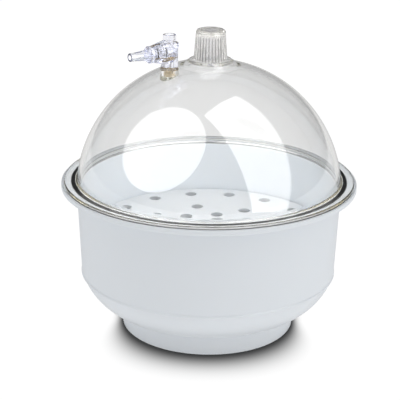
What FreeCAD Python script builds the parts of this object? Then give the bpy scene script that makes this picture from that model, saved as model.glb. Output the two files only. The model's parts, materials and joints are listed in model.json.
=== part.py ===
import FreeCAD, Part
import math
import os

# Vacuum desiccator: a moulded bowl with a perforated shelf, closed by a clear dome that
# carries a ribbed lifting knob and a rotary stopcock. Millimetres, +Z up, the origin at the
# centre of the foot's bottom face, and the axis of the bowl and the dome along Z.

# Bowl, outside
FOOT_R = 86.8
FOOT_TOP_R = 89.2
FOOT_TOP_Z = 20.6
BELLY_MID = (113.9, 35.0)
BELLY_TOP_R = 127.0
BELLY_TOP_Z = 56.6
BEAD_R = 128.6
BEAD_LOW_Z = 57.6
BEAD_HIGH_Z = 59.2
WALL_FOOT_R = 128.1
WALL_FOOT_Z = 60.4
WALL_TOP_R = 131.5
WALL_TOP_Z = 142.6
WALL = 3.9

# Bowl, rim
RIM_R = 146.7
RIM_TOP_Z = 152.7
LIP_WIDTH = 2.0
LIP_UNDERSIDE_Z = 147.3
FLANGE_Z = 150.0
CHANNEL_R = 138.6
CHANNEL_Z = 144.0

# Bowl, inside
FLOOR_Z = 6.5
FOOT_RECESS = 2.5
FOOT_RECESS_R = 79.0
WELL_R = 83.0
LEDGE_Z = 95.0
LEDGE_R = 121.4
LEDGE_HEIGHT = 5.0

# Rim seal
SEAL_R = 134.5
SEAL_CORD = 5.0
GROOVE_WIDTH = 5.6
GROOVE_DEPTH = 4.2

# Perforated shelf
PLATE_R = 124.2
PLATE_THICKNESS = 4.0
PLATE_HOLE_R = 6.25
PLATE_EDGE_ROUND = 1.2
PLATE_PHASE = 10.5
# radius of each ring of holes, number of holes, turn of its first hole in degrees
PLATE_RINGS = (
    (21.0, 4, PLATE_PHASE),
    (42.5, 8, PLATE_PHASE + 22.5),
    (66.5, 8, PLATE_PHASE),
    (107.0, 16, PLATE_PHASE),
)

# Dome
LID_GAP = 0.3
DOME_R = 132.2
DOME_WALL = 4.0
DOME_CENTRE_Z = 140.0
DOME_FLANGE_R = 144.2
DOME_FLANGE_THICKNESS = 5.0
DOME_FLANGE_ROUND = 1.0
DOME_ROOT_FILLET = 2.1
TOP_BOSS_FOOT_R = 28.2
TOP_BOSS_STEP_R = 25.5
TOP_BOSS_STEP_Z = 271.3
TOP_BOSS_R = 17.5
TOP_BOSS_Z = 274.6

# Knob
STEM_R = 8.0
STEM_TOP_Z = 297.0
STEM_SPIGOT_R = 6.0
STEM_SPIGOT_Z = 270.6
CAP_FOOT_R = 16.4
CAP_SHOULDER_R = 14.4
CAP_SHOULDER_Z = 300.5
CAP_TOP_Z = 303.6
CAP_RIB_TOP_Z = 298.4
CAP_WALL = 2.6
CAP_CEILING_Z = 300.4
CAP_SOCKET_R = 9.7
CAP_SOCKET_BOTTOM_Z = 279.0
CAP_RIBS = 30
CAP_GROOVE_DEPTH = 1.0
CAP_GROOVE_WIDTH = 1.9

# Stopcock: its upright tube stands on a boss of the dome, and its barrel lies level
STOPCOCK_OFFSET_R = 46.35
STOPCOCK_AZIMUTH = 212.9
NOZZLE_AZIMUTH = 217.0
COCK_BOSS_R = 8.9
COCK_BOSS_Z = 269.8
COCK_SOCKET_Z = 264.0
AIR_HOLE_R = 1.5
SPIGOT_R = 4.5
BUSH_R = 5.6
BUSH_FLANGE_R = 8.8
BUSH_FLANGE_THICKNESS = 1.2
TUBE_R = 8.2
TUBE_TOP_Z = 296.2
TUBE_ROUND = 1.2
TUBE_BEAD_R = 8.8
TUBE_BEAD_Z = 292.0
CHANNEL_BORE_R = 2.5
TURRET_R = 6.2
TURRET_TOP_Z = 303.6
TURRET_BORE_R = 4.2
TURRET_BORE_Z = 294.6

# Stopcock barrel and valve plug, measured outwards along the barrel from the tube's axis
BARREL_Z = 287.0
BARREL_BACK = -8.0
BARREL_WIDE = 5.0
BARREL_WIDE_R = 11.6
BARREL_MOUTH = 24.6
BARREL_MOUTH_R = 7.4
BARREL_COLLAR = 22.0
BARREL_COLLAR_R = 7.7
BARREL_COLLAR_STEP = 0.4
BARREL_BORE_R = 5.5
BARREL_BORE_END = -4.6
RETAINER_R = 6.7
RETAINER_START = 21.6
RUNNING_CLEARANCE = 0.05
PLUG_END = -4.3
PLUG_SHOULDER = 21.4
PLUG_NECK_R = 4.9
NOZZLE_ROOT = 29.1
NOZZLE_PARALLEL = 39.0
NOZZLE_R = 4.0
NOZZLE_TIP = 45.0
NOZZLE_TIP_ROUND = 0.5
NOZZLE_BORE_R = 2.4
PORT_R = 1.9
PLUG_SEAL_POSITIONS = {"plug_seal_inner": 7.5, "plug_seal_outer": 16.5}
PLUG_SEAL_CORD = 1.8
PLUG_GROOVE_WIDTH = 2.2


def vector(x, y, z):
    return FreeCAD.Vector(x, y, z)


def revolve(start, *steps):
    """Solid of revolution about Z. A step is the next (r, z) corner, or a pair of points
    ((r, z) on the way, (r, z) at the end) for an arc."""
    here = vector(start[0], 0, start[1])
    first = here
    edges = []
    for step in steps:
        if isinstance(step[0], tuple):
            middle = vector(step[0][0], 0, step[0][1])
            there = vector(step[1][0], 0, step[1][1])
            edges.append(Part.Arc(here, middle, there).toShape())
        else:
            there = vector(step[0], 0, step[1])
            edges.append(Part.LineSegment(here, there).toShape())
        here = there
    if not here.isEqual(first, 1e-6):
        edges.append(Part.LineSegment(here, first).toShape())
    face = Part.Face(Part.Wire(edges))
    return face.revolve(vector(0, 0, 0), vector(0, 0, 1), 360)


def cylinder(radius, bottom, top, x=0.0, y=0.0):
    return Part.makeCylinder(radius, top - bottom, vector(x, y, bottom))


def circle_z(radius, r, centre_z):
    """Height on a circle of the given radius, centred on the axis, at distance r from it."""
    return centre_z + math.sqrt(radius * radius - r * r)


def corner_mid(centre, radius, degrees):
    """Point on the arc of a rounded corner."""
    angle = math.radians(degrees)
    return (centre[0] + radius * math.cos(angle), centre[1] + radius * math.sin(angle))


def along_barrel(shape):
    """Lay a shape made about +Z, with z counted from the tube's axis, along the barrel."""
    shape = shape.copy()
    shape.rotate(vector(0, 0, 0), vector(0, 1, 0), 90)
    shape.translate(vector(0, 0, BARREL_Z))
    return shape


def place_stopcock(shape):
    """Turn a stopcock shape, made with its barrel along +X, to its place on the dome."""
    azimuth = math.radians(STOPCOCK_AZIMUTH)
    shape = shape.copy()
    shape.rotate(vector(0, 0, 0), vector(0, 0, 1), NOZZLE_AZIMUTH)
    x = STOPCOCK_OFFSET_R * math.cos(azimuth)
    y = STOPCOCK_OFFSET_R * math.sin(azimuth)
    shape.translate(vector(x, y, 0))
    return shape


def base_bowl():
    """Bowl with a foot, a rounded belly, a bead, a nearly straight wall and a lipped rim flange."""
    belly_in_mid = (BELLY_MID[0] - 0.72 * WALL, BELLY_MID[1] + 0.70 * WALL)
    groove_in = SEAL_R - GROOVE_WIDTH / 2
    groove_out = SEAL_R + GROOVE_WIDTH / 2
    lip_in = RIM_R - LIP_WIDTH
    lip_mid = RIM_R - LIP_WIDTH / 2
    wall_in_top = WALL_TOP_R - WALL
    slope = (WALL_TOP_R - WALL_FOOT_R) / (WALL_TOP_Z - WALL_FOOT_Z)
    ledge_wall_r = WALL_FOOT_R - WALL + slope * (LEDGE_Z - WALL_FOOT_Z)
    return revolve(
        (0, FOOT_RECESS),
        (FOOT_RECESS_R, FOOT_RECESS),
        (FOOT_RECESS_R + FOOT_RECESS, 0),
        (FOOT_R - 1.5, 0),
        (corner_mid((FOOT_R - 1.5, 1.5), 1.5, -45), (FOOT_R, 1.5)),
        (FOOT_TOP_R, FOOT_TOP_Z),
        (BELLY_MID, (BELLY_TOP_R, BELLY_TOP_Z)),
        (BEAD_R, BEAD_LOW_Z),
        (BEAD_R, BEAD_HIGH_Z),
        (WALL_FOOT_R, WALL_FOOT_Z),
        (WALL_TOP_R, WALL_TOP_Z),
        (CHANNEL_R, CHANNEL_Z),
        (CHANNEL_R + 2, LIP_UNDERSIDE_Z),
        (RIM_R - 0.8, LIP_UNDERSIDE_Z),
        (corner_mid((RIM_R - 0.8, LIP_UNDERSIDE_Z + 0.8), 0.8, -45), (RIM_R, LIP_UNDERSIDE_Z + 0.8)),
        (RIM_R, RIM_TOP_Z - LIP_WIDTH / 2),
        ((lip_mid, RIM_TOP_Z), (lip_in, RIM_TOP_Z - LIP_WIDTH / 2)),
        (lip_in, FLANGE_Z),
        (groove_out, FLANGE_Z),
        (groove_out, FLANGE_Z - GROOVE_DEPTH),
        (groove_in, FLANGE_Z - GROOVE_DEPTH),
        (groove_in, FLANGE_Z),
        (wall_in_top, FLANGE_Z),
        (wall_in_top, WALL_TOP_Z),
        (ledge_wall_r, LEDGE_Z),
        (LEDGE_R, LEDGE_Z),
        (LEDGE_R, LEDGE_Z - 2),
        (ledge_wall_r - 0.2, LEDGE_Z - LEDGE_HEIGHT),
        (WALL_FOOT_R - WALL, WALL_FOOT_Z),
        (belly_in_mid, (FOOT_TOP_R - WALL, FOOT_TOP_Z + 2.4)),
        (WELL_R + 1, FLOOR_Z + 4),
        (corner_mid((WELL_R - 3, FLOOR_Z + 4), 4, -45), (WELL_R - 3, FLOOR_Z)),
        (0, FLOOR_Z),
    )


def rim_seal():
    """Rubber ring in the rim groove, pressed flat on top by the dome's flange."""
    centre_z = FLANGE_Z - GROOVE_DEPTH + SEAL_CORD / 2
    ring = Part.makeTorus(SEAL_R, SEAL_CORD / 2, vector(0, 0, centre_z))
    lid_face = FLANGE_Z + LID_GAP - 0.02
    keep = cylinder(SEAL_R + SEAL_CORD, FLANGE_Z - 2 * SEAL_CORD, lid_face)
    return ring.common(keep)


def perforated_plate():
    """Flat shelf with a rounded edge, pierced by rings of round holes."""
    top = LEDGE_Z + PLATE_THICKNESS
    e = PLATE_EDGE_ROUND
    disc = revolve(
        (0, LEDGE_Z),
        (PLATE_R - e, LEDGE_Z),
        (corner_mid((PLATE_R - e, LEDGE_Z + e), e, -45), (PLATE_R, LEDGE_Z + e)),
        (PLATE_R, top - e),
        (corner_mid((PLATE_R - e, top - e), e, 45), (PLATE_R - e, top)),
        (0, top),
    )
    holes = []
    for ring_r, count, phase in PLATE_RINGS:
        for i in range(count):
            angle = math.radians(phase + 360.0 * i / count)
            x = ring_r * math.cos(angle)
            y = ring_r * math.sin(angle)
            holes.append(cylinder(PLATE_HOLE_R, LEDGE_Z - 1, top + 1, x, y))
    return disc.cut(Part.makeCompound(holes))


def dome_cover():
    """Part-spherical dome with a flat flange, a knob boss on top and a stopcock boss, whose
    socket has a small air hole through the dome."""
    bottom = FLANGE_Z + LID_GAP
    flange_top = bottom + DOME_FLANGE_THICKNESS
    e = DOME_FLANGE_ROUND
    root_z = flange_top + DOME_ROOT_FILLET
    root_r = math.sqrt(DOME_R ** 2 - (root_z - DOME_CENTRE_Z) ** 2)
    root_mid = corner_mid((root_r + DOME_ROOT_FILLET, root_z), DOME_ROOT_FILLET, 225)
    inner_r = DOME_R - DOME_WALL
    inner_foot_r = math.sqrt(inner_r ** 2 - (bottom - DOME_CENTRE_Z) ** 2)
    boss_foot = (TOP_BOSS_FOOT_R, circle_z(DOME_R, TOP_BOSS_FOOT_R, DOME_CENTRE_Z))
    half_r = DOME_R * math.sin(math.radians(45))
    half_in = inner_r * math.sin(math.radians(45))
    shell = revolve(
        (inner_foot_r, bottom),
        (DOME_FLANGE_R - e, bottom),
        (corner_mid((DOME_FLANGE_R - e, bottom + e), e, -45), (DOME_FLANGE_R, bottom + e)),
        (DOME_FLANGE_R, flange_top - e),
        (corner_mid((DOME_FLANGE_R - e, flange_top - e), e, 45), (DOME_FLANGE_R - e, flange_top)),
        (root_r + DOME_ROOT_FILLET, flange_top),
        (root_mid, (root_r, root_z)),
        ((half_r, circle_z(DOME_R, half_r, DOME_CENTRE_Z)), boss_foot),
        (TOP_BOSS_STEP_R, TOP_BOSS_STEP_Z),
        (TOP_BOSS_R, TOP_BOSS_Z),
        (0, TOP_BOSS_Z),
        (0, DOME_CENTRE_Z + inner_r),
        ((half_in, circle_z(inner_r, half_in, DOME_CENTRE_Z)), (inner_foot_r, bottom)),
    )
    boss = place_stopcock(cylinder(COCK_BOSS_R, COCK_SOCKET_Z - 8, COCK_BOSS_Z))
    boss = boss.cut(Part.makeSphere(inner_r + 0.5, vector(0, 0, DOME_CENTRE_Z)))
    drills = [
        cylinder(STEM_SPIGOT_R, STEM_SPIGOT_Z, TOP_BOSS_Z + 2),
        place_stopcock(cylinder(BUSH_R, COCK_SOCKET_Z, COCK_BOSS_Z + 2)),
        place_stopcock(cylinder(AIR_HOLE_R, COCK_SOCKET_Z - 10, COCK_SOCKET_Z)),
    ]
    return shell.fuse(boss).cut(Part.makeCompound(drills))


def knob_stem():
    """Post that stands in the dome's top boss and holds the knob cap."""
    return revolve(
        (0, STEM_SPIGOT_Z),
        (STEM_SPIGOT_R, STEM_SPIGOT_Z),
        (STEM_SPIGOT_R, TOP_BOSS_Z),
        (STEM_R, TOP_BOSS_Z),
        (STEM_R, STEM_TOP_Z - 0.8),
        (STEM_R - 0.8, STEM_TOP_Z),
        (0, STEM_TOP_Z),
    )


def cap_grooves():
    """V-shaped grooves down the cap's tapered side, leaving the ribs between them."""
    run = CAP_SHOULDER_Z - TOP_BOSS_Z
    lean = (CAP_FOOT_R - CAP_SHOULDER_R) / run
    low = TOP_BOSS_Z - 1
    grooves = []
    for z in (low, CAP_RIB_TOP_Z):
        side_r = CAP_FOOT_R - lean * (z - TOP_BOSS_Z)
        half = CAP_GROOVE_WIDTH / 2 * side_r / CAP_FOOT_R
        corners = [
            vector(side_r - CAP_GROOVE_DEPTH, 0, z),
            vector(side_r + 0.4, -1.5 * half, z),
            vector(side_r + 0.4, 1.5 * half, z),
        ]
        grooves.append(Part.makePolygon(corners + corners[:1]))
    groove = Part.makeLoft(grooves, True, True)
    copies = []
    for i in range(CAP_RIBS):
        turned = groove.copy()
        turned.rotate(vector(0, 0, 0), vector(0, 0, 1), 360.0 * i / CAP_RIBS)
        copies.append(turned)
    return Part.makeCompound(copies)


def knob_cap():
    """Hollow, ribbed, tapering cap with an inner sleeve that grips the stem."""
    round_r = CAP_TOP_Z - CAP_SHOULDER_Z
    crown_r = CAP_SHOULDER_R - round_r
    outside = revolve(
        (0, TOP_BOSS_Z),
        (CAP_FOOT_R, TOP_BOSS_Z),
        (CAP_SHOULDER_R, CAP_SHOULDER_Z),
        (corner_mid((crown_r, CAP_SHOULDER_Z), round_r, 45), (crown_r, CAP_TOP_Z)),
        (0, CAP_TOP_Z),
    )
    hollow = revolve(
        (CAP_SOCKET_R, TOP_BOSS_Z - 1),
        (CAP_FOOT_R - CAP_WALL, TOP_BOSS_Z - 1),
        (CAP_SHOULDER_R - CAP_WALL, CAP_CEILING_Z),
        (CAP_SOCKET_R, CAP_CEILING_Z),
    )
    sleeve_end = cylinder(CAP_SOCKET_R + 0.1, TOP_BOSS_Z - 1, CAP_SOCKET_BOTTOM_Z)
    socket = cylinder(STEM_R + RUNNING_CLEARANCE, TOP_BOSS_Z - 1, STEM_TOP_Z)
    return outside.cut(cap_grooves()).cut(Part.makeCompound([hollow])).cut(sleeve_end.fuse(socket))


def stopcock_body():
    """Upright tube with a spigot, a beaded top, a hollow turret and a tapering side barrel."""
    foot_z = COCK_BOSS_Z + BUSH_FLANGE_THICKNESS
    e = TUBE_ROUND
    upright = revolve(
        (0, COCK_SOCKET_Z),
        (SPIGOT_R - 0.6, COCK_SOCKET_Z),
        (SPIGOT_R, COCK_SOCKET_Z + 0.6),
        (SPIGOT_R, foot_z),
        (TUBE_R, foot_z),
        (TUBE_R, TUBE_BEAD_Z - (TUBE_BEAD_R - TUBE_R)),
        (TUBE_BEAD_R, TUBE_BEAD_Z),
        (TUBE_BEAD_R, TUBE_TOP_Z - e),
        (corner_mid((TUBE_BEAD_R - e, TUBE_TOP_Z - e), e, 45), (TUBE_BEAD_R - e, TUBE_TOP_Z)),
        (TURRET_R, TUBE_TOP_Z),
        (TURRET_R, TURRET_TOP_Z - 0.4),
        (TURRET_R - 0.4, TURRET_TOP_Z),
        (0, TURRET_TOP_Z),
    )
    barrel = revolve(
        (0, BARREL_BACK),
        ((8.6, BARREL_BACK + 4.4), (BARREL_WIDE_R, BARREL_WIDE)),
        (BARREL_COLLAR_R, BARREL_COLLAR - 0.6),
        (BARREL_COLLAR_R + BARREL_COLLAR_STEP, BARREL_COLLAR),
        (BARREL_COLLAR_R + BARREL_COLLAR_STEP, BARREL_MOUTH - 0.8),
        (BARREL_MOUTH_R, BARREL_MOUTH),
        (0, BARREL_MOUTH),
    )
    cavities = [
        cylinder(CHANNEL_BORE_R, COCK_SOCKET_Z - 1, BARREL_Z),
        cylinder(TURRET_BORE_R, TURRET_BORE_Z, TURRET_TOP_Z + 1),
        along_barrel(cylinder(BARREL_BORE_R, BARREL_BORE_END, BARREL_MOUTH + 1)),
        along_barrel(cylinder(RETAINER_R, RETAINER_START, BARREL_MOUTH + 1)),
    ]
    body = upright.fuse(along_barrel(barrel))
    for cavity in cavities:
        body = body.cut(cavity)
    return place_stopcock(body)


def stopcock_gasket():
    """Flanged silicone bush that seals the stopcock's foot and spigot in the dome's boss."""
    top = COCK_BOSS_Z + BUSH_FLANGE_THICKNESS
    return place_stopcock(revolve(
        (SPIGOT_R, COCK_SOCKET_Z),
        (BUSH_R, COCK_SOCKET_Z),
        (BUSH_R, COCK_BOSS_Z),
        (BUSH_FLANGE_R, COCK_BOSS_Z),
        (BUSH_FLANGE_R, top),
        (SPIGOT_R, top),
    ))


def plug_retainer():
    """Ring pressed into the barrel's mouth that keeps the valve plug in."""
    inner = PLUG_NECK_R + RUNNING_CLEARANCE
    ring = cylinder(RETAINER_R, RETAINER_START, BARREL_MOUTH - 0.4)
    ring = ring.cut(cylinder(inner, RETAINER_START - 1, BARREL_MOUTH + 1))
    return place_stopcock(along_barrel(ring))


def seal_groove_r():
    return BARREL_BORE_R - RUNNING_CLEARANCE - PLUG_SEAL_CORD


def valve_plug():
    """Plug that turns in the barrel, with a cross port and an integral hose nozzle."""
    plug_r = BARREL_BORE_R - RUNNING_CLEARANCE
    e = NOZZLE_TIP_ROUND
    plug = revolve(
        (0, PLUG_END),
        (plug_r, PLUG_END),
        (plug_r, PLUG_SHOULDER),
        (PLUG_NECK_R, PLUG_SHOULDER),
        (PLUG_NECK_R, NOZZLE_ROOT),
        (NOZZLE_R, NOZZLE_PARALLEL),
        (NOZZLE_R, NOZZLE_TIP - e),
        (corner_mid((NOZZLE_R - e, NOZZLE_TIP - e), e, 45), (NOZZLE_R - e, NOZZLE_TIP)),
        (0, NOZZLE_TIP),
    )
    plug = plug.cut(cylinder(NOZZLE_BORE_R, -PORT_R, NOZZLE_TIP + 1))
    for centre in PLUG_SEAL_POSITIONS.values():
        low = centre - PLUG_GROOVE_WIDTH / 2
        high = centre + PLUG_GROOVE_WIDTH / 2
        groove = cylinder(plug_r + 1, low, high).cut(cylinder(seal_groove_r(), low - 1, high + 1))
        plug = plug.cut(groove)
    plug = along_barrel(plug)
    plug = plug.cut(cylinder(PORT_R, BARREL_Z - BARREL_BORE_R - 1, BARREL_Z))
    return place_stopcock(plug)


def plug_seal(centre):
    """Small rubber ring in a groove of the valve plug."""
    middle_r = seal_groove_r() + PLUG_SEAL_CORD / 2 + 0.01
    ring = Part.makeTorus(middle_r, PLUG_SEAL_CORD / 2 - 0.02, vector(0, 0, centre))
    return place_stopcock(along_barrel(ring))


def build():
    parts = {
        "base_bowl": base_bowl(),
        "rim_seal": rim_seal(),
        "perforated_plate": perforated_plate(),
        "dome_cover": dome_cover(),
        "knob_stem": knob_stem(),
        "knob_cap": knob_cap(),
        "stopcock_body": stopcock_body(),
        "stopcock_gasket": stopcock_gasket(),
        "plug_retainer": plug_retainer(),
        "valve_plug": valve_plug(),
    }
    for name, centre in PLUG_SEAL_POSITIONS.items():
        parts[name] = plug_seal(centre)
    return parts


def main():
    os.makedirs("parts", exist_ok=True)
    for name, shape in build().items():
        solids = shape.Solids
        print(name, "solids", len(solids), "valid", shape.isValid(), "cm3", round(shape.Volume / 1000, 2))
        solids[0].exportStep(os.path.join("parts", name + ".step"))


main()
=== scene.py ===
import json
import math

import bmesh
import bpy
from mathutils import Matrix, Vector


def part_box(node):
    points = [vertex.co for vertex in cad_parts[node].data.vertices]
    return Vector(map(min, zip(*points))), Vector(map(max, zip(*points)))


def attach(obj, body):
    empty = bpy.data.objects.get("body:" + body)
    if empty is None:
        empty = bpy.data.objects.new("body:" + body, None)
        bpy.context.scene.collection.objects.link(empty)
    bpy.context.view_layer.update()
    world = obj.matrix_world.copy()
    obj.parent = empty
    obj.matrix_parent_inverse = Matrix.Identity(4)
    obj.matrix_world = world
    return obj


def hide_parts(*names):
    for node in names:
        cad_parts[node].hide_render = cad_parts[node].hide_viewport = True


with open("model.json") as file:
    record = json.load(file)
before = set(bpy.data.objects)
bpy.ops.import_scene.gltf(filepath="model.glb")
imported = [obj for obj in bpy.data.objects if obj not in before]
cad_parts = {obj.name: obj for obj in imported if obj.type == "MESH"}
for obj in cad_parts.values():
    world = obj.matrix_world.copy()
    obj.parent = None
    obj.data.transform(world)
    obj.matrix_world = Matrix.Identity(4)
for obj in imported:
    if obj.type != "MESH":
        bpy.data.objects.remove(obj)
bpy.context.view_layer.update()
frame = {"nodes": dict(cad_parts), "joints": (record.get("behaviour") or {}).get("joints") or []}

# ---------------------------------------------------------------- sizes, metres

MM = 0.001
SEGMENTS = 240
COCK_SEGMENTS = 128
SMALL_SEGMENTS = 96
WELL_SEGMENTS = 64
HOLE_SEGMENTS = 48
SMOOTH_ANGLE = math.radians(32)
MERGE_DISTANCE = 1e-7
HOLD = 0.008 * MM
FIT_GAP = 0.05 * MM

bowl_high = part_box("base_bowl")[1]
dome_low, dome_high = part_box("dome_cover")
plate_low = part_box("perforated_plate")[0]
cap_low, cap_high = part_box("knob_cap")
stem_low, stem_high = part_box("knob_stem")
cock_low, cock_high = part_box("stopcock_body")
bush_low, bush_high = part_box("stopcock_gasket")
seal_low, seal_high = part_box("rim_seal")

# Bowl: FOOT_TOP, BELLY_MID, BELLY_TOP, WALL_FOOT, WALL_TOP, FLARE and LIP_FOOT are points (r, z)
# of its outside, and WALL_DRAFT is how far its inside has drawn in above and below the ledge.
RIM_R = bowl_high.x
RIM_TOP = bowl_high.z
FLANGE_Z = RIM_TOP - 2.7 * MM
LIP_WIDTH = 2.0 * MM
WALL = 3.9 * MM
RECESS_R = 79 * MM
RECESS_DEPTH = 2.5 * MM
FOOT_RIM_R = 81.5 * MM
FOOT_R = 86.8 * MM
FOOT_TOP = (89.2 * MM, 20.6 * MM)
BELLY_MID = (113.9 * MM, 35.0 * MM)
BELLY_TOP = (127.0 * MM, 56.6 * MM)
BELLY_INWARD = (-0.72, 0.70)
BEAD_R = 128.6 * MM
BEAD_HEIGHTS = (57.6 * MM, 59.2 * MM)
WALL_FOOT = (128.1 * MM, 60.4 * MM)
WALL_TOP = (131.5 * MM, 142.6 * MM)
FLARE = (138.6 * MM, 144 * MM)
LIP_FOOT = (140.6 * MM, 147.3 * MM)
FLOOR_R = 84 * MM
FLOOR_Z = 6.5 * MM
LEDGE_R = 121.4 * MM
LEDGE_THICKNESS = 2 * MM
LEDGE_ROOT = 5 * MM
WALL_DRAFT = (1.4 * MM, 1.6 * MM)

# Rim seal
SEAL_R = 134.85 * MM
SEAL_WIDTH = 4.6 * MM
GROOVE_WIDTH = 4.7 * MM
GROOVE_DEPTH = 4.2 * MM
SEAL_WETTING = 0.02 * MM

# Dome: the two steps are points (r, z)
DOME_R = 132.2 * MM
DOME_WALL = 4.0 * MM
DOME_CENTRE_Z = 140.0 * MM
FLANGE_R = dome_high.x
FLANGE_THICKNESS = 5.0 * MM
ROOT_FILLET = 2.1 * MM
BOSS_FOOT_R = 28.2 * MM
BOSS_STEP = (25.5 * MM, 271.1 * MM)
BOSS_R = 20.5 * MM
BOSS_TOP_Z = cap_low.z
BOSS_WALL = DOME_WALL + 0.3 * MM
UNDER_BOSS_FOOT_R = 27.6 * MM
UNDER_BOSS_STEP = (25.0 * MM, 267.0 * MM)
UNDER_BOSS_R = 20.0 * MM
HUB_R = (8 * MM, 9 * MM)
POST_DEPTH = 16 * MM
POST_OVERLAP = 0.4 * MM
SOCKET_GAP = 0.04 * MM
CUT_DEPTH = 20 * MM
CUT_ABOVE = 2 * MM
STEM_HOLE_R = 6.05 * MM

# Knob
CAP_FOOT_R = 16.4 * MM
CAP_SHOULDER_R = 14.4 * MM
CAP_SHOULDER_Z = cap_high.z - 3.1 * MM
CAP_RIB_TOP_Z = cap_high.z - 5.2 * MM
CAP_RIBS = 30
RIB_DEPTH = 1.0 * MM
RIB_SHAPE = 1.6
RIB_FADE = 1.6 * MM
CAP_WALL = 2.6 * MM
SLEEVE_R = 9.7 * MM
SLEEVE_FOOT_Z = 279 * MM
STEM_R = stem_high.x
STEM_FOOT_R = 6 * MM

# Stopcock: starts, ends and lengths along the barrel are counted from the tube's axis
bush_mid = (bush_low + bush_high) / 2
COCK_X, COCK_Y = bush_mid.x, bush_mid.y
COCK_BOSS_Z = bush_high.z - 1.2 * MM
COCK_BOSS_R = 8.9 * MM
BUSH_R = 5.6 * MM
BUSH_FLANGE_R = 8.8 * MM
SPIGOT_R = 4.5 * MM
AIR_HOLE_R = 1.5 * MM
BORE_R = 5.5 * MM
valve = next(j for j in frame["joints"] if j["name"] == "valve_turn")
BARREL_AXIS = Vector(valve["axis"])
BARREL_ORIGIN = Vector(valve["pos_m"])
TUBE_R = 8.2 * MM
TUBE_BEAD_R = TUBE_R + 0.6 * MM
TUBE_BEAD_HEIGHT = 4.2 * MM
NECK_R = 6.2 * MM
NECK_HEIGHT = 7.4 * MM
WELL_R = 4.3 * MM
WELL_DEPTH = 9 * MM
CHANNEL_R = 2.5 * MM
BORE_START = -4.6 * MM
MOUTH_R = 6.7 * MM
MOUTH_START = 21.6 * MM
BARREL_BACK = ((0, -8 * MM), (8.6 * MM, -3.6 * MM), (11.6 * MM, 5 * MM))
BARREL_FRONT_R = 7.7 * MM
BARREL_BEAD_R = 8.1 * MM
BARREL_BEAD = (22 * MM, 23.8 * MM)
BARREL_LENGTH = 24.6 * MM
CUT_LENGTH = 30 * MM
PLUG_START = -4.3 * MM
PLUG_LENGTH = 21.4 * MM
PLUG_SEALS = (7.5 * MM, 16.5 * MM)
PLUG_SEAL_R = 0.88 * MM
PLUG_GROOVE_DEPTH = 1.8 * MM
PLUG_GROOVE_HALF = 1.1 * MM
PLUG_NECK_R = 4.9 * MM
NOZZLE_TAPER = (29.1 * MM, 39 * MM)
NOZZLE_TIP = 45 * MM
NOZZLE_R = 4.0 * MM
NOZZLE_BORE_R = 2.4 * MM
NOZZLE_BORE_START = -1.9 * MM
PORT_R = 1.9 * MM
PORT_DEPTH = 7 * MM


# ---------------------------------------------------------------- outlines and meshes

def arc(centre, radius, start, end, steps):
    """Points (r, z) on a circle, from one angle in degrees to another."""
    points = []
    for i in range(steps + 1):
        angle = math.radians(start + (end - start) * i / steps)
        points.append((centre[0] + radius * math.cos(angle), centre[1] + radius * math.sin(angle)))
    return points


def arc_through(start, middle, end, steps):
    """Points (r, z) on the circle through three points."""
    (ax, ay), (bx, by), (cx, cy) = start, middle, end
    d = 2 * (ax * (by - cy) + bx * (cy - ay) + cx * (ay - by))
    a2, b2, c2 = ax * ax + ay * ay, bx * bx + by * by, cx * cx + cy * cy
    ux = (a2 * (by - cy) + b2 * (cy - ay) + c2 * (ay - by)) / d
    uy = (a2 * (cx - bx) + b2 * (ax - cx) + c2 * (bx - ax)) / d
    first = math.degrees(math.atan2(ay - uy, ax - ux))
    last = math.degrees(math.atan2(cy - uy, cx - ux))
    return arc((ux, uy), math.hypot(ax - ux, ay - uy), first, last, steps)


def rounded(corners, closed=False, steps=5):
    """Points along an outline of (r, z) or (r, z, radius) corners, rounded by their radii. A point
    just before and just after each rounding keeps the runs beside it flat in smooth shading."""
    points = []
    count = len(corners)
    for i, corner in enumerate(corners):
        here = Vector(corner[:2])
        radius = corner[2] if len(corner) > 2 else 0
        if radius == 0 or (not closed and i in (0, count - 1)):
            points.append(tuple(here))
            continue
        back = (Vector(corners[i - 1][:2]) - here).normalized()
        ahead = (Vector(corners[(i + 1) % count][:2]) - here).normalized()
        half = back.angle(ahead) / 2
        centre = here + (back + ahead).normalized() * radius / math.sin(half)
        from_start = here + back * radius / math.tan(half) - centre
        from_end = here + ahead * radius / math.tan(half) - centre
        first = math.atan2(from_start.y, from_start.x)
        turn = math.atan2(from_end.y, from_end.x) - first
        turn = (turn + math.pi) % (2 * math.pi) - math.pi
        reach = radius / math.tan(half) + HOLD
        points.append(tuple(here + back * reach))
        for k in range(steps + 1):
            angle = first + turn * k / steps
            points.append((centre.x + radius * math.cos(angle), centre.y + radius * math.sin(angle)))
        points.append(tuple(here + ahead * reach))
    return points


def finish_mesh(name, bm):
    """Object from a bmesh, with outward normals and smooth shading up to SMOOTH_ANGLE."""
    bmesh.ops.remove_doubles(bm, verts=bm.verts, dist=MERGE_DISTANCE)
    bmesh.ops.recalc_face_normals(bm, faces=bm.faces)
    mesh = bpy.data.meshes.new(name)
    bm.to_mesh(mesh)
    bm.free()
    mesh.shade_smooth()
    mesh.set_sharp_from_angle(angle=SMOOTH_ANGLE)
    piece = bpy.data.objects.new(name, mesh)
    bpy.context.scene.collection.objects.link(piece)
    return piece


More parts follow.
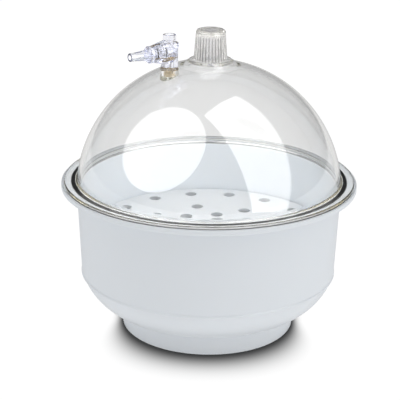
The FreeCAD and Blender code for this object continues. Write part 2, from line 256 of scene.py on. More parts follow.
def lathe(name, outline, closed=False, segments=SEGMENTS, ripple=None):
    """Solid of revolution about Z. ripple(r, z, angle) may change a point's radius."""
    bm = bmesh.new()
    rings = []
    for r, z in outline:
        if r < MERGE_DISTANCE:
            rings.append([bm.verts.new((0, 0, z))])
            continue
        ring = []
        for k in range(segments):
            angle = 2 * math.pi * k / segments
            radius = ripple(r, z, angle) if ripple else r
            ring.append(bm.verts.new((radius * math.cos(angle), radius * math.sin(angle), z)))
        rings.append(ring)
    following = rings[1:] + (rings[:1] if closed else [])
    for low, high in zip(rings, following):
        for k in range(segments):
            n = (k + 1) % segments
            corners = [low[k % len(low)], low[n % len(low)], high[n % len(high)], high[k % len(high)]]
            corners = list(dict.fromkeys(corners))
            if len(corners) > 2:
                bm.faces.new(corners)
    return finish_mesh(name, bm)


def rod(name, radius, bottom, top, segments=SMALL_SEGMENTS):
    """Plain closed cylinder about Z, used as a tool for cuts."""
    return lathe(name, [(0, bottom), (radius, bottom), (radius, top), (0, top)], segments=segments)


def combine(piece, operation, *tools):
    """Apply an exact boolean with each tool and remove the tools."""
    for tool in tools:
        modifier = piece.modifiers.new(operation.lower(), "BOOLEAN")
        modifier.operation = operation
        modifier.solver = "EXACT"
        modifier.object = tool
        depsgraph = bpy.context.evaluated_depsgraph_get()
        mesh = bpy.data.meshes.new_from_object(piece.evaluated_get(depsgraph))
        piece.modifiers.clear()
        old = piece.data
        piece.data = mesh
        bpy.data.meshes.remove(old)
        bpy.data.objects.remove(tool)
    piece.data.name = piece.name
    piece.data.shade_smooth()
    piece.data.set_sharp_from_angle(angle=SMOOTH_ANGLE)
    return piece


def along_barrel(piece):
    """Lay a piece made about +Z, with z counted from the tube's axis, along the barrel."""
    turn = Vector((0, 0, 1)).rotation_difference(BARREL_AXIS).to_matrix().to_4x4()
    piece.data.transform(Matrix.Translation(BARREL_ORIGIN) @ turn)
    return piece


def at_stopcock(piece):
    """Move a piece made about Z to the axis of the stopcock's upright tube."""
    piece.data.transform(Matrix.Translation((COCK_X, COCK_Y, 0)))
    return piece


# ---------------------------------------------------------------- bowl, seal and plate

def make_bowl():
    """One outline: under the foot, up the outside to the lip, over the groove, down the inside."""
    belly = arc_through(FOOT_TOP, BELLY_MID, BELLY_TOP, 22)
    inner_foot = (FOOT_TOP[0] - WALL, FOOT_TOP[1] + 2.4 * MM)
    inner_wall_foot = (WALL_FOOT[0] - WALL, WALL_FOOT[1])
    inner_middle = (BELLY_MID[0] + BELLY_INWARD[0] * WALL, BELLY_MID[1] + BELLY_INWARD[1] * WALL)
    inner_belly = arc_through(inner_foot, inner_middle, inner_wall_foot, 22)
    lip_in = RIM_R - LIP_WIDTH
    groove_in = SEAL_R - GROOVE_WIDTH / 2
    groove_out = SEAL_R + GROOVE_WIDTH / 2
    inner_r = WALL_TOP[0] - WALL
    ledge_z = plate_low.z
    under = rounded([
        (0, RECESS_DEPTH), (RECESS_R, RECESS_DEPTH, 1.2 * MM), (FOOT_RIM_R, 0, 0.6 * MM),
        (FOOT_R, 0, 1.5 * MM), FOOT_TOP])
    rim = rounded([
        BELLY_TOP, (BEAD_R, BEAD_HEIGHTS[0], 0.5 * MM), (BEAD_R, BEAD_HEIGHTS[1], 0.6 * MM),
        (*WALL_FOOT, 0.3 * MM),
        (*WALL_TOP, 0.8 * MM), (*FLARE, 0.8 * MM),
        (*LIP_FOOT, 0.8 * MM), (RIM_R, LIP_FOOT[1], 0.8 * MM),
        (RIM_R, RIM_TOP, 0.99 * MM), (lip_in, RIM_TOP, 0.99 * MM),
        (lip_in, FLANGE_Z, 0.4 * MM),
        (groove_out, FLANGE_Z, 0.3 * MM), (groove_out, FLANGE_Z - GROOVE_DEPTH, 0.6 * MM),
        (groove_in, FLANGE_Z - GROOVE_DEPTH, 0.6 * MM), (groove_in, FLANGE_Z, 0.3 * MM),
        (inner_r, FLANGE_Z, 1.0 * MM), (inner_r, WALL_TOP[1]),
        (inner_r - WALL_DRAFT[0], ledge_z), (LEDGE_R, ledge_z, 0.5 * MM),
        (LEDGE_R, ledge_z - LEDGE_THICKNESS, 0.6 * MM),
        (inner_r - WALL_DRAFT[1], ledge_z - LEDGE_ROOT), inner_wall_foot])
    inside = rounded([inner_foot, (FLOOR_R, FLOOR_Z, 4 * MM), (0, FLOOR_Z)])
    outline = under[:-1] + belly + rim[1:-1] + inner_belly[::-1] + inside[1:]
    return lathe("bowl", outline)


def make_seal():
    """Ring squeezed into the groove, its flat top wetting the dome's flange with no air between."""
    half = SEAL_WIDTH / 2
    bottom = seal_low.z
    top = seal_high.z + SEAL_WETTING
    return lathe("rim_seal_ring", rounded([
        (SEAL_R - half, bottom, 1.7 * MM), (SEAL_R + half, bottom, 1.7 * MM),
        (SEAL_R + half, top, 0.5 * MM), (SEAL_R - half, top, 0.5 * MM)],
        closed=True), closed=True)


# ---------------------------------------------------------------- dome

def make_dome():
    """Clear shell with a flange, an even-walled top boss and a solid stopcock boss."""
    bottom = dome_low.z
    flange_top = bottom + FLANGE_THICKNESS
    inner_r = DOME_R - DOME_WALL
    foot = math.degrees(math.asin((flange_top + ROOT_FILLET - DOME_CENTRE_Z) / DOME_R))
    crown = math.degrees(math.acos(BOSS_FOOT_R / DOME_R))
    inner_foot = math.degrees(math.asin((bottom - DOME_CENTRE_Z) / inner_r))
    centre = (0, DOME_CENTRE_Z)
    outside = arc(centre, DOME_R, foot, crown, 90)
    inner_crown = math.degrees(math.acos(UNDER_BOSS_FOOT_R / inner_r))
    inside = arc(centre, inner_r, inner_crown, inner_foot, 100)
    root_r = DOME_R * math.cos(math.radians(foot))
    flange = rounded([
        inside[-1], (FLANGE_R, bottom, 1 * MM), (FLANGE_R, flange_top, 1 * MM),
        (root_r, flange_top, 2.0 * MM), (root_r, flange_top + ROOT_FILLET)])
    boss = rounded([
        outside[-1], (*BOSS_STEP, 3 * MM), (BOSS_R, BOSS_TOP_Z, 3 * MM), (0, BOSS_TOP_Z)], steps=10)
    inside_top = DOME_CENTRE_Z + inner_r
    boss_ceiling = BOSS_TOP_Z - BOSS_WALL
    under_boss = rounded([
        (0, inside_top), (HUB_R[0], inside_top, 0.5 * MM), (HUB_R[1], boss_ceiling, 0.5 * MM),
        (UNDER_BOSS_R, boss_ceiling, 3 * MM), (*UNDER_BOSS_STEP, 3 * MM), inside[0]], steps=10)
    outline = under_boss + inside[1:-1] + flange[:-1] + outside + boss[1:]
    shell = lathe("dome_shell", outline)
    post_foot = COCK_BOSS_Z - POST_DEPTH
    post = at_stopcock(lathe("post", rounded([
        (0, post_foot), (COCK_BOSS_R, post_foot),
        (COCK_BOSS_R, COCK_BOSS_Z, 0.5 * MM), (0, COCK_BOSS_Z)]), segments=SMALL_SEGMENTS))
    hollow = lathe("hollow", arc(centre, inner_r + POST_OVERLAP, -90, 90, 100))
    combine(post, "DIFFERENCE", hollow)
    combine(shell, "UNION", post)
    below, above = COCK_BOSS_Z - CUT_DEPTH, COCK_BOSS_Z + CUT_ABOVE
    socket_r, socket_z = BUSH_R + SOCKET_GAP, bush_low.z - SOCKET_GAP
    socket = at_stopcock(lathe("socket", [
        (0, below), (AIR_HOLE_R, below), (AIR_HOLE_R, socket_z),
        (socket_r, socket_z), (socket_r, above), (0, above)], segments=SMALL_SEGMENTS))
    stem_hole = rod("stem_hole", STEM_HOLE_R, stem_low.z - FIT_GAP, BOSS_TOP_Z + CUT_ABOVE)
    return combine(shell, "DIFFERENCE", socket, stem_hole)


# ---------------------------------------------------------------- knob

def rib_ripple(r, z, angle):
    """Rounded ribs on the cap's side that fade out below its smooth crown."""
    height = CAP_SHOULDER_Z - cap_low.z
    side_r = CAP_FOOT_R + (CAP_SHOULDER_R - CAP_FOOT_R) * (z - cap_low.z) / height
    if r < side_r - 0.3 * MM:
        return r
    fade = min(max((CAP_RIB_TOP_Z - z) / RIB_FADE, 0), 1)
    groove = (0.5 + 0.5 * math.cos(CAP_RIBS * angle)) ** RIB_SHAPE
    return r - RIB_DEPTH * math.sin(fade * math.pi / 2) * groove


def make_cap():
    """Ribbed, tapering, hollow cap with an inner sleeve round the stem."""
    ceiling = CAP_SHOULDER_Z - 0.1 * MM
    side = []
    for i in range(17):
        share = i / 16
        side.append((
            CAP_FOOT_R + (CAP_SHOULDER_R - CAP_FOOT_R) * share,
            cap_low.z + (CAP_SHOULDER_Z - cap_low.z) * share))
    crown = rounded([
        side[-1], (CAP_SHOULDER_R - 0.1 * MM, cap_high.z, 2.6 * MM), (0, cap_high.z)])
    inside = rounded([
        (0, stem_high.z + 0.3 * MM), (STEM_R + 0.1 * MM, stem_high.z + 0.3 * MM),
        (STEM_R + 0.1 * MM, SLEEVE_FOOT_Z, 0.2 * MM), (SLEEVE_R, SLEEVE_FOOT_Z, 0.3 * MM),
        (SLEEVE_R, ceiling, 0.5 * MM), (CAP_SHOULDER_R - CAP_WALL, ceiling, 0.8 * MM),
        (CAP_FOOT_R - CAP_WALL, cap_low.z)])
    outline = inside + side + crown[1:]
    return lathe("ribbed_cap", outline, segments=CAP_RIBS * 12, ripple=rib_ripple)


def make_stem():
    """Post in the dome's boss, with a shoulder on the boss and a rounded top."""
    shoulder_z = BOSS_TOP_Z + FIT_GAP
    return lathe("knob_post", rounded([
        (0, stem_low.z), (STEM_FOOT_R, stem_low.z, 0.4 * MM), (STEM_FOOT_R, shoulder_z),
        (STEM_R, shoulder_z, 0.3 * MM), (STEM_R, stem_high.z, 1.0 * MM), (0, stem_high.z)]),
        segments=SMALL_SEGMENTS)


# ---------------------------------------------------------------- stopcock

def make_cock_body():
    """Upright tube, hollow turret, spigot and tapering side barrel, moulded as one."""
    bottom = cock_low.z
    foot = bush_high.z
    tube_top = cock_high.z - NECK_HEIGHT
    upright = at_stopcock(lathe("cock_body", rounded([
        (0, bottom), (SPIGOT_R, bottom, 0.6 * MM), (SPIGOT_R, foot), (TUBE_R, foot, 0.4 * MM),
        (TUBE_R, tube_top - TUBE_BEAD_HEIGHT - 0.6 * MM, 0.5 * MM),
        (TUBE_BEAD_R, tube_top - TUBE_BEAD_HEIGHT, 0.5 * MM),
        (TUBE_BEAD_R, tube_top, 1.2 * MM), (NECK_R, tube_top, 0.5 * MM),
        (NECK_R, cock_high.z, 0.5 * MM), (0, cock_high.z)]), segments=COCK_SEGMENTS))
    back = arc_through(*BARREL_BACK, 14)
    bead_start, bead_end = BARREL_BEAD
    barrel = along_barrel(lathe("barrel", back[:-1] + rounded([
        back[-1], (BARREL_FRONT_R, bead_start - 0.6 * MM, 0.4 * MM),
        (BARREL_BEAD_R, bead_start, 0.3 * MM), (BARREL_BEAD_R, bead_end, 0.3 * MM),
        (BARREL_BEAD_R - 0.7 * MM, BARREL_LENGTH, 0.2 * MM), (0, BARREL_LENGTH)]),
        segments=COCK_SEGMENTS))
    combine(upright, "UNION", barrel)
    channel = at_stopcock(rod("channel", CHANNEL_R, bottom - 1 * MM, BARREL_ORIGIN.z, HOLE_SEGMENTS))
    well_floor = cock_high.z - WELL_DEPTH
    well = at_stopcock(lathe("well", rounded([
        (0, well_floor), (WELL_R - 0.1 * MM, well_floor, 1.0 * MM),
        (WELL_R, cock_high.z + 1 * MM), (0, cock_high.z + 1 * MM)]), segments=WELL_SEGMENTS))
    bore = along_barrel(rod("bore", BORE_R, BORE_START, CUT_LENGTH))
    mouth = along_barrel(rod("mouth", MOUTH_R, MOUTH_START, CUT_LENGTH))
    return combine(upright, "DIFFERENCE", channel, well, bore, mouth)


def make_bush():
    """Flanged bush round the spigot, its flange under the stopcock's foot."""
    edge = 0.35 * MM
    return at_stopcock(lathe("cock_bush", rounded([
        (SPIGOT_R, bush_low.z, edge), (BUSH_R, bush_low.z, edge), (BUSH_R, COCK_BOSS_Z),
        (BUSH_FLANGE_R, COCK_BOSS_Z, edge), (BUSH_FLANGE_R, bush_high.z, edge),
        (SPIGOT_R, bush_high.z)], closed=True), closed=True, segments=SMALL_SEGMENTS))


def make_retainer():
    """Ring in the barrel's mouth round the plug's neck."""
    edge = 0.25 * MM
    inner_r, outer_r = PLUG_NECK_R + 0.08 * MM, MOUTH_R - FIT_GAP
    start, end = MOUTH_START + FIT_GAP, BARREL_LENGTH - 0.4 * MM
    return along_barrel(lathe("barrel_ring", rounded([
        (inner_r, start, edge), (outer_r, start, edge),
        (outer_r, end, edge), (inner_r, end, 2 * edge)],
        closed=True), closed=True, segments=SMALL_SEGMENTS))


def make_plug():
    """Turning plug with two seal grooves, a cross port and the hose nozzle."""
    plug_r = BORE_R - FIT_GAP
    groove_r = plug_r - PLUG_GROOVE_DEPTH
    outline = [(0, PLUG_START), (plug_r, PLUG_START, 0.4 * MM)]
    for centre in PLUG_SEALS:
        for side, first, second in ((-1, plug_r, groove_r), (1, groove_r, plug_r)):
            wall_z = centre + side * PLUG_GROOVE_HALF
            outline += [(first, wall_z, 0.15 * MM), (second, wall_z, 0.15 * MM)]
    outline += [
        (plug_r, PLUG_LENGTH, 0.3 * MM), (PLUG_NECK_R, PLUG_LENGTH, 0.2 * MM),
        (PLUG_NECK_R, NOZZLE_TAPER[0], 3 * MM), (NOZZLE_R, NOZZLE_TAPER[1], 3 * MM),
        (NOZZLE_R, NOZZLE_TIP, 0.5 * MM), (NOZZLE_BORE_R, NOZZLE_TIP, 0.5 * MM),
        (NOZZLE_BORE_R, NOZZLE_BORE_START, 0.3 * MM), (0, NOZZLE_BORE_START)]
    plug = along_barrel(lathe("plug_with_nozzle", rounded(outline), segments=SMALL_SEGMENTS))
    port = at_stopcock(rod(
        "port", PORT_R, BARREL_ORIGIN.z - PORT_DEPTH, BARREL_ORIGIN.z, HOLE_SEGMENTS))
    return combine(plug, "DIFFERENCE", port)


def make_plug_seal(name, node):
    """Small rubber ring in the middle of its CAD node's place."""
    low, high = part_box(node)
    reach = ((low + high) / 2 - BARREL_ORIGIN).dot(BARREL_AXIS)
    steps = 24
    section = arc((BORE_R - PLUG_SEAL_R - 0.06 * MM, reach), PLUG_SEAL_R, 0, 360, steps)[:steps]
    return along_barrel(lathe(name, section, closed=True, segments=SMALL_SEGMENTS))


# ---------------------------------------------------------------- materials

POLYPROPYLENE_IOR = 1.49
POLYCARBONATE_IOR = 1.585
LAMPLIGHT_PASSED = (0.965, 0.965, 0.965)
KNOB_COLOUR = (0.93, 0.925, 0.92)
# Painted shade for the knob's rib grooves, much darker than the cap's own colour
PAINTED_GROOVE_SHADE = (0.16, 0.16, 0.155)


def new_material(name):
    """Empty node material, with its nodes and links."""
    material = bpy.data.materials.new(name)
    material.use_nodes = True
    material.node_tree.nodes.clear()
    return material, material.node_tree.nodes, material.node_tree.links


def noise(nodes, links, scale, detail):
    """Noise over the object's own coordinates, so scale is in waves per metre."""
    coordinates = nodes.new("ShaderNodeTexCoord")
    texture = nodes.new("ShaderNodeTexNoise")
    texture.inputs["Scale"].default_value = scale
    texture.inputs["Detail"].default_value = detail
    links.new(coordinates.outputs["Object"], texture.inputs["Vector"])
    return texture.outputs["Fac"]


def spread(nodes, links, source, low, high):
    """Map a noise value onto a range."""
    node = nodes.new("ShaderNodeMapRange")
    node.inputs["From Min"].default_value = 0.3
    node.inputs["From Max"].default_value = 0.7
    node.inputs["To Min"].default_value = low
    node.inputs["To Max"].default_value = high
    links.new(source, node.inputs["Value"])
    return node.outputs["Result"]


def bump(nodes, links, source, strength, distance):
    """Normal that follows a height value, distance metres at its full range."""
    node = nodes.new("ShaderNodeBump")
    node.inputs["Strength"].default_value = strength
    node.inputs["Distance"].default_value = distance
    links.new(source, node.inputs["Height"])
    return node.outputs["Normal"]


def blend_colours(nodes, links, source, first, second):
    """Mix of two colours, the first where the source is 0 and the second where it is 1."""
    node = nodes.new("ShaderNodeMix")
    node.data_type = "RGBA"
    links.new(source, node.inputs["Factor"])
    node.inputs["A"].default_value = (*first, 1)
    node.inputs["B"].default_value = (*second, 1)
    return node.outputs["Result"]


def mix_values(nodes, links, factor, first, second):
    """Mix of two numbers, each a socket or a plain value."""
    node = nodes.new("ShaderNodeMix")
    links.new(factor, node.inputs["Factor"])
    for name, value in (("A", first), ("B", second)):
        if isinstance(value, (int, float)):
            node.inputs[name].default_value = value
        else:
            links.new(value, node.inputs[name])
    return node.outputs["Result"]


def calculate(nodes, links, operation, first, second):
    """Math node on two numbers, each a socket or a plain value."""
    node = nodes.new("ShaderNodeMath")
    node.operation = operation
    for socket, value in zip(node.inputs, (first, second)):
        if isinstance(value, (int, float)):
            socket.default_value = value
        else:
            links.new(value, socket)
    return node.outputs[0]


def map_range(nodes, links, source, given, wanted, interpolation="SMOOTHSTEP"):
    """Map a number from one range onto another."""
    node = nodes.new("ShaderNodeMapRange")
    node.interpolation_type = interpolation
    for name, value in zip(("From Min", "From Max", "To Min", "To Max"), (*given, *wanted)):
        node.inputs[name].default_value = value
    links.new(source, node.inputs["Value"])
    return node.outputs["Result"]


def moulded_plastic(name, colour, shade, roughness, grain):
    """Opaque moulded plastic: cloudy colour, a fine grain and slightly uneven gloss."""
    material, nodes, links = new_material(name)
    shader = nodes.new("ShaderNodeBsdfPrincipled")
    output = nodes.new("ShaderNodeOutputMaterial")
    cloud = noise(nodes, links, 9, 4)
    links.new(blend_colours(nodes, links, cloud, shade, colour), shader.inputs["Base Color"])
    links.new(spread(nodes, links, noise(nodes, links, 60, 5), *roughness), shader.inputs["Roughness"])
    fine = noise(nodes, links, 900, 2)
    links.new(bump(nodes, links, fine, grain, 0.1 * MM), shader.inputs["Normal"])
    shader.inputs["Subsurface Weight"].default_value = 0.12
    shader.inputs["Subsurface Radius"].default_value = (1.0, 0.9, 0.8)
    shader.inputs["Subsurface Scale"].default_value = 3 * MM
    shader.inputs["IOR"].default_value = POLYPROPYLENE_IOR
    links.new(shader.outputs["BSDF"], output.inputs["Surface"])
    return material


def clear_plastic(name, colour, absorption, density, roughness, ripple, clarity=1.0):
    """Clear polycarbonate: lamplight passes with little shadow, and long paths show the tint."""
    material, nodes, links = new_material(name)
    shader = nodes.new("ShaderNodeBsdfPrincipled")
    output = nodes.new("ShaderNodeOutputMaterial")
    through = nodes.new("ShaderNodeBsdfTransparent")
    path = nodes.new("ShaderNodeLightPath")
    mix = nodes.new("ShaderNodeMixShader")
    volume = nodes.new("ShaderNodeVolumeAbsorption")
    shader.inputs["Base Color"].default_value = (*colour, 1)
    shader.inputs["Transmission Weight"].default_value = clarity
    shader.inputs["IOR"].default_value = POLYCARBONATE_IOR
    links.new(spread(nodes, links, noise(nodes, links, 45, 5), *roughness), shader.inputs["Roughness"])
    waves = noise(nodes, links, 16, 1)
    links.new(bump(nodes, links, waves, ripple, 1 * MM), shader.inputs["Normal"])
    through.inputs["Color"].default_value = (*LAMPLIGHT_PASSED, 1)
    volume.inputs["Color"].default_value = (*absorption, 1)
    volume.inputs["Density"].default_value = density
    links.new(path.outputs["Is Shadow Ray"], mix.inputs["Fac"])
    links.new(shader.outputs["BSDF"], mix.inputs[1])
    links.new(through.outputs["BSDF"], mix.inputs[2])
    links.new(mix.outputs["Shader"], output.inputs["Surface"])
    links.new(volume.outputs["Volume"], output.inputs["Volume"])
    return material


def paint_groove_shade(material, colour, shade):
    """Paint shade into a clear cap's colour in the grooves between its ribs, below its smooth crown.
    """
    nodes, links = material.node_tree.nodes, material.node_tree.links
    shader = next(node for node in nodes if node.type == "BSDF_PRINCIPLED")
    coordinates = nodes.new("ShaderNodeTexCoord")
    split = nodes.new("ShaderNodeSeparateXYZ")
    links.new(coordinates.outputs["Object"], split.inputs[0])
    x, y, z = split.outputs
    angle = calculate(nodes, links, "ARCTAN2", y, x)
    turns = calculate(nodes, links, "MULTIPLY", angle, CAP_RIBS)
    wave = calculate(nodes, links, "COSINE", turns, 0)
    groove = map_range(nodes, links, wave, (0.1, 0.95), (0, 1))
    x_square = calculate(nodes, links, "MULTIPLY", x, x)
    y_square = calculate(nodes, links, "MULTIPLY", y, y)
    square = calculate(nodes, links, "ADD", x_square, y_square)
    outside = calculate(nodes, links, "GREATER_THAN", square, (CAP_SHOULDER_R - 1.5 * MM) ** 2)
    below = map_range(nodes, links, z, (CAP_RIB_TOP_Z - 2 * MM, CAP_RIB_TOP_Z), (1, 0))
    groove = calculate(nodes, links, "MULTIPLY", groove, outside)
    groove = calculate(nodes, links, "MULTIPLY", groove, below)
    # Painted shade: the cap's colour turns to the painted groove shade along the groove mask
    links.new(blend_colours(nodes, links, groove, colour, shade), shader.inputs["Base Color"])


def rubber(name, colour, shade, roughness, gloss=0.5, translucence=0.0):
    """Smooth moulded rubber with faint bloom. Translucence is for silicone."""
    material, nodes, links = new_material(name)
    shader = nodes.new("ShaderNodeBsdfPrincipled")
    output = nodes.new("ShaderNodeOutputMaterial")
    cloud = noise(nodes, links, 120, 4)
    links.new(blend_colours(nodes, links, cloud, shade, colour), shader.inputs["Base Color"])
    links.new(spread(nodes, links, cloud, *roughness), shader.inputs["Roughness"])
    fine = noise(nodes, links, 1500, 2)
    links.new(bump(nodes, links, fine, 0.15, 0.1 * MM), shader.inputs["Normal"])
    shader.inputs["Specular IOR Level"].default_value = gloss
    shader.inputs["Transmission Weight"].default_value = translucence
    links.new(shader.outputs["BSDF"], output.inputs["Surface"])
    return material


def dress(piece, material, body, slot, *nodes):
    """Give a piece its material and the body it rides on, and hide the nodes it replaces. slot is not
    used.
    """
    piece.data.materials.clear()
    piece.data.materials.append(material)
    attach(piece, body)
    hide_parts(*nodes)
    return piece


white_plastic = moulded_plastic(
    "white_polypropylene", colour=(0.775, 0.81, 0.845), shade=(0.745, 0.78, 0.815),
    roughness=(0.30, 0.38), grain=0.10)
white_plate = moulded_plastic(
    "plate_polypropylene", colour=(0.68, 0.70, 0.72), shade=(0.65, 0.675, 0.695),
    roughness=(0.36, 0.46), grain=0.16)
clear_dome = clear_plastic(
    "dome_polycarbonate", colour=(0.89, 0.89, 0.89), absorption=(0.78, 0.71, 0.45), density=3,
    roughness=(0.0, 0.02), ripple=0.002)
clear_knob = clear_plastic(
    "knob_polycarbonate", colour=KNOB_COLOUR, absorption=(0.62, 0.60, 0.50), density=20,
    roughness=(0.10, 0.18), ripple=0.02, clarity=0.90)
# Painted shade in the knob's rib grooves
paint_groove_shade(clear_knob, KNOB_COLOUR, PAINTED_GROOVE_SHADE)
clear_fitting = clear_plastic(
    "fitting_polycarbonate", colour=(0.955, 0.96, 0.98), absorption=(0.46, 0.49, 0.72), density=16,
    roughness=(0.0, 0.02), ripple=0.02)
black_rubber = rubber(
    "black_rubber", colour=(0.010, 0.010, 0.010), shade=(0.018, 0.018, 0.017),
    roughness=(0.28, 0.42), gloss=0.12)
amber_rubber = rubber(
    "amber_silicone", colour=(0.88, 0.78, 0.58), shade=(0.83, 0.70, 0.47),
    roughness=(0.15, 0.25), translucence=0.8)

dress(make_bowl(), white_plastic, "base", "white_plastic", "base_bowl")
dress(make_seal(), black_rubber, "base", "black_rubber", "rim_seal")
dress(make_dome(), clear_dome, "lid", "clear_dome", "dome_cover")
dress(make_cap(), clear_knob, "lid", "clear_knob", "knob_cap")
dress(make_stem(), clear_fitting, "lid", "clear_fittings", "knob_stem")
dress(make_cock_body(), clear_fitting, "lid", "clear_fittings", "stopcock_body")
dress(make_bush(), amber_rubber, "lid", "amber_washer", "stopcock_gasket")
dress(make_retainer(), clear_fitting, "lid", "clear_fittings", "plug_retainer")
dress(make_plug(), clear_fitting, "valve", "clear_plug", "valve_plug")
for place in ("inner", "outer"):
    seal_node = "plug_seal_" + place
    plug_ring = make_plug_seal("plug_ring_" + place, seal_node)
    dress(plug_ring, black_rubber, "valve", "black_rubber", seal_node)

plate_materials = frame["nodes"]["perforated_plate"].data.materials
plate_materials.clear()
plate_materials.append(white_plate)


# ---------------------------------------------------------------- stage

# Camera
TARGET = Vector((0, 0, 0.15))
CAMERA_DISTANCE = 1.3
CAMERA_ELEVATION = math.radians(18.7)
CAMERA_PAN = math.radians(0.405)
CAMERA_TILT = math.radians(0.85)
CAMERA_ROLL = math.radians(0.6)
CAMERA_LENS = 117.07
SENSOR_WIDTH = 36

# Surroundings: strengths, and the stretches of a direction's X or Y over which they change
SKY_TINT = (0.985, 0.99, 1)
BACKDROP = 1.03
STUDIO_FRONT = 0.25
STUDIO_BACK = 0.10
STUDIO_CHANGE = (-0.2, 0.75)
SEEN_FRONT = 0.40
SEEN_BACK = 0.78
SEEN_CHANGE = (-0.6, 0.1)
SEEN_RIGHT = 0.5
RIGHT_CHANGE = (0.1, 0.8)
FILL_LEFT = 0.9
FILL_MIDDLE = 0.2
FILL_RIGHT = 1.6
INSIDE_LIFT = 1.45

# Floor
FLOOR_SIZE = 6
FLOOR_COLOUR = (0.04, 0.04, 0.04)
FLOOR_SHADE = (0.035, 0.035, 0.035)
FLOOR_GLOW = 1.0
FLOOR_BOUNCE = (0.6, 0.95)
FLOOR_MIRRORED = 0.45
SHADOW_REACH = (0.006, 0.030)
SHADOW_FALL = 1.8
SHADOW_CORE = 0.015

# Lights
LEFT_DIRECTION = (-0.600, -0.400, 0.693)
LEFT_DISTANCE = 1.1
LEFT_SIZE = (1.5,)
LEFT_POWER = 16
RIGHT_DIRECTION = (0.636, -0.389, 0.67)
RIGHT_DISTANCE = 1.2
RIGHT_SIZE = (0.98, 2.5)
RIGHT_LONG_SIDE = (0.45, -0.488, -0.745)
RIGHT_POWER = 22
DIFFUSE_SHARE = 0.49
GLASS_BOUNCES = 128
WHITE_BOUNCES = 12


def foot_shadow(nodes, links):
    """Soft shadow round the foot, widest in front: SHADOW_CORE at the foot's edge, 1 well away."""
    coordinates = nodes.new("ShaderNodeTexCoord")
    split = nodes.new("ShaderNodeSeparateXYZ")
    length = nodes.new("ShaderNodeVectorMath")
    length.operation = "LENGTH"
    links.new(coordinates.outputs["Object"], split.inputs[0])
    links.new(coordinates.outputs["Object"], length.inputs[0])
    distance = length.outputs["Value"]
    frontness = calculate(nodes, links, "DIVIDE", split.outputs["Y"], distance)
    reach = map_range(nodes, links, frontness, (0, -1), SHADOW_REACH)
    gap = calculate(nodes, links, "SUBTRACT", distance, FOOT_R)
    gap = calculate(nodes, links, "MAXIMUM", gap, 0)
    gap = calculate(nodes, links, "DIVIDE", gap, reach)
    fall = calculate(nodes, links, "POWER", gap, SHADOW_FALL)
    fall = calculate(nodes, links, "MULTIPLY", fall, -1)
    fall = calculate(nodes, links, "POWER", math.e, fall)
    return map_range(nodes, links, fall, (0, 1), (1, SHADOW_CORE), "LINEAR")


def make_floor():
    """Pale floor that glows evenly, so it reads as a white sweep, with a shadow at the foot."""
    bm = bmesh.new()
    bmesh.ops.create_grid(bm, x_segments=1, y_segments=1, size=FLOOR_SIZE)
    floor = finish_mesh("floor", bm)
    material, nodes, links = new_material("pale_floor")
    shader = nodes.new("ShaderNodeBsdfPrincipled")
    output = nodes.new("ShaderNodeOutputMaterial")
    cloud = noise(nodes, links, 3, 3)
    colour = blend_colours(nodes, links, cloud, FLOOR_SHADE, FLOOR_COLOUR)
    links.new(colour, shader.inputs["Base Color"])
    shader.inputs["Roughness"].default_value = 0.7
    shader.inputs["Specular IOR Level"].default_value = 0.1
    path = nodes.new("ShaderNodeLightPath")
    shadow = foot_shadow(nodes, links)
    glow = mix_values(nodes, links, path.outputs["Is Glossy Ray"], FLOOR_GLOW, FLOOR_MIRRORED)
    glow = mix_values(nodes, links, path.outputs["Is Transmission Ray"], glow, FLOOR_GLOW)
    glow = calculate(nodes, links, "MULTIPLY", glow, shadow)
    bounce = map_range(nodes, links, shadow, (0, 1), FLOOR_BOUNCE, "LINEAR")
    glow = mix_values(nodes, links, path.outputs["Is Diffuse Ray"], glow, bounce)
    shader.inputs["Emission Color"].default_value = (1, 1, 1, 1)
    links.new(glow, shader.inputs["Emission Strength"])
    links.new(shader.outputs["BSDF"], output.inputs["Surface"])
    floor.data.materials.append(material)


def make_camera():
    """Camera in front of the object and a little above it, with its small aiming corrections."""
    data = bpy.data.cameras.new("camera")
    data.lens = CAMERA_LENS
    data.sensor_width = SENSOR_WIDTH
    camera = bpy.data.objects.new("camera", data)
    bpy.context.scene.collection.objects.link(camera)
    back = Vector((0, -math.cos(CAMERA_ELEVATION), math.sin(CAMERA_ELEVATION)))
    place = Matrix.Translation(TARGET + back * CAMERA_DISTANCE)
    level = Matrix.Rotation(CAMERA_PAN, 4, "Z") @ Matrix.Rotation(
        math.pi / 2 - CAMERA_ELEVATION - CAMERA_TILT, 4, "X")
    camera.matrix_world = place @ level @ Matrix.Rotation(CAMERA_ROLL, 4, "Z")
    bpy.context.scene.camera = camera


def softbox(name, direction, distance, shape, size, power, along=(0, 0, 1)):
    """Area light facing TARGET from a direction. size is a disc's diameter or a rectangle's two
    sides, and the second side runs along the given direction."""
    data = bpy.data.lights.new(name, "AREA")
    data.shape = shape
    data.size = size[0]
    data.size_y = size[-1]
    data.energy = power
    light = bpy.data.objects.new(name, data)
    bpy.context.scene.collection.objects.link(light)
    z_axis = Vector(direction).normalized()
    x_axis = Vector(along).cross(z_axis).normalized()
    y_axis = z_axis.cross(x_axis)
    turn = Matrix((x_axis, y_axis, z_axis)).transposed().to_4x4()
    light.matrix_world = Matrix.Translation(TARGET + z_axis * distance) @ turn
    return light


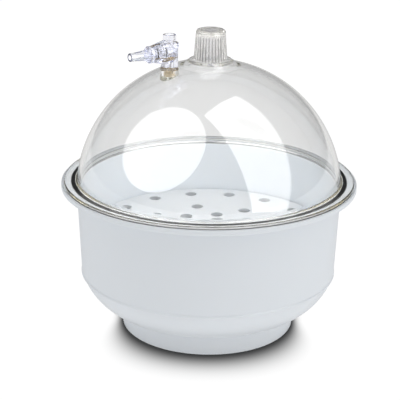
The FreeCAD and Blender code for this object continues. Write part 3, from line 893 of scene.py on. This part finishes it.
def make_world():
    """White backdrop for the camera. What shows through clear plastic is bright behind the object,
    dimmer in front of it and to its right, and reflections meet a dim studio. Diffuse light is a
    fill that is strongest from the right, and stronger where it reaches a surface through the dome."""
    world = bpy.data.worlds.new("studio")
    bpy.context.scene.world = world
    world.use_nodes = True
    nodes, links = world.node_tree.nodes, world.node_tree.links
    nodes.clear()
    path = nodes.new("ShaderNodeLightPath")
    direction = nodes.new("ShaderNodeTexCoord")
    split = nodes.new("ShaderNodeSeparateXYZ")
    links.new(direction.outputs["Generated"], split.inputs[0])
    depth = split.outputs["Y"]
    mirrored = map_range(nodes, links, depth, STUDIO_CHANGE, (STUDIO_FRONT, STUDIO_BACK))
    seen_through = map_range(nodes, links, depth, SEEN_CHANGE, (SEEN_FRONT, SEEN_BACK))
    right_side = map_range(nodes, links, split.outputs["X"], RIGHT_CHANGE, (1, SEEN_RIGHT))
    seen_through = calculate(nodes, links, "MULTIPLY", seen_through, right_side)
    scattered = calculate(nodes, links, "GREATER_THAN", path.outputs["Diffuse Depth"], 0.5)
    strength = mix_values(nodes, links, path.outputs["Is Transmission Ray"], mirrored, seen_through)
    strength = mix_values(nodes, links, path.outputs["Is Camera Ray"], strength, BACKDROP)
    fill = nodes.new("ShaderNodeValToRGB")
    fill.color_ramp.interpolation = "EASE"
    for at, level in ((0, FILL_LEFT), (0.5, FILL_MIDDLE), (1, FILL_RIGHT)):
        stop = fill.color_ramp.elements[0] if at == 0 else fill.color_ramp.elements.new(at)
        stop.position = at
        stop.color = (level, level, level, 1)
    sideways = map_range(nodes, links, split.outputs["X"], (-1, 1), (0, 1), "LINEAR")
    links.new(sideways, fill.inputs["Fac"])
    lift = map_range(nodes, links, path.outputs["Is Transmission Ray"], (0, 1), (1, INSIDE_LIFT))
    soft_light = calculate(nodes, links, "MULTIPLY", fill.outputs["Color"], lift)
    strength = mix_values(nodes, links, scattered, strength, soft_light)
    background = nodes.new("ShaderNodeBackground")
    background.inputs["Color"].default_value = (*SKY_TINT, 1)
    links.new(strength, background.inputs["Strength"])
    output = nodes.new("ShaderNodeOutputWorld")
    links.new(background.outputs[0], output.inputs["Surface"])


def make_lights():
    """Two softboxes, each a pair: one that reflections meet, and a weaker one for matt surfaces."""
    for name, glossy, share in (("mirror", True, 1.0), ("fill", False, DIFFUSE_SHARE)):
        left = softbox(
            "softbox_left_" + name, LEFT_DIRECTION, LEFT_DISTANCE, "DISK", LEFT_SIZE,
            LEFT_POWER * share)
        right = softbox(
            "softbox_right_" + name, RIGHT_DIRECTION, RIGHT_DISTANCE, "RECTANGLE", RIGHT_SIZE,
            RIGHT_POWER * share, along=RIGHT_LONG_SIDE)
        for light in (left, right):
            light.visible_glossy = glossy
            light.visible_diffuse = not glossy


def allow_bounces():
    """Let light cross the many walls of the clear parts."""
    light_paths = bpy.context.scene.cycles
    light_paths.max_bounces = GLASS_BOUNCES
    light_paths.glossy_bounces = GLASS_BOUNCES
    light_paths.transmission_bounces = GLASS_BOUNCES
    light_paths.diffuse_bounces = WHITE_BOUNCES


make_floor()
make_camera()
make_world()
make_lights()
allow_bounces()
bpy.context.scene.view_settings.view_transform = "Standard"
